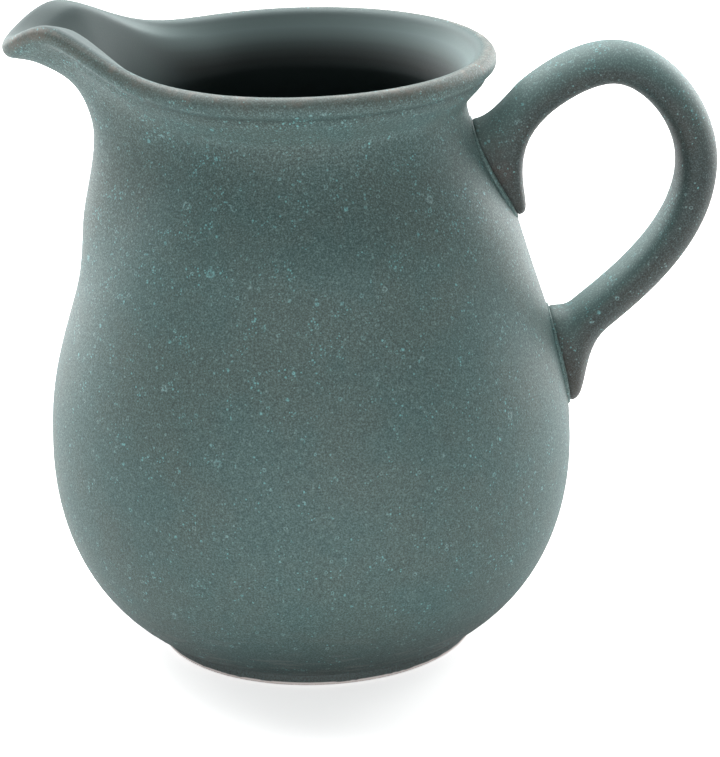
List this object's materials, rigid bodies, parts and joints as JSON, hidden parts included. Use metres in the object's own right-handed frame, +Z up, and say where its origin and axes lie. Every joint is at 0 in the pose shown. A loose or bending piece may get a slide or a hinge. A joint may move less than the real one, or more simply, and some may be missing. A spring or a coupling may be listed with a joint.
{
  "type": "ceramic pitcher",
  "caption": "Round-bellied glazed stoneware pitcher with a narrow neck, rolled rim, pulled pouring spout and a looped strap handle.",
  "frame": {"origin": "centre of the foot ring's flat resting plane, on the body's axis", "axes": "+Z up along the body's axis, -X towards the spout, +X towards the handle, and Y across"},
  "size_m": [0.194, 0.145, 0.1806],
  "materials": {
    "glazed_body": "satin",
    "bare_foot": "matte",
    "glazed_handle": "satin",
    "slip_joint": "satin"
  },
  "bodies": {
    "root": {"body": "glazed_body", "foot_ring": "bare_foot", "handle": "glazed_handle", "upper_slip": "slip_joint", "lower_slip": "slip_joint"}
  },
  "joints": []
}
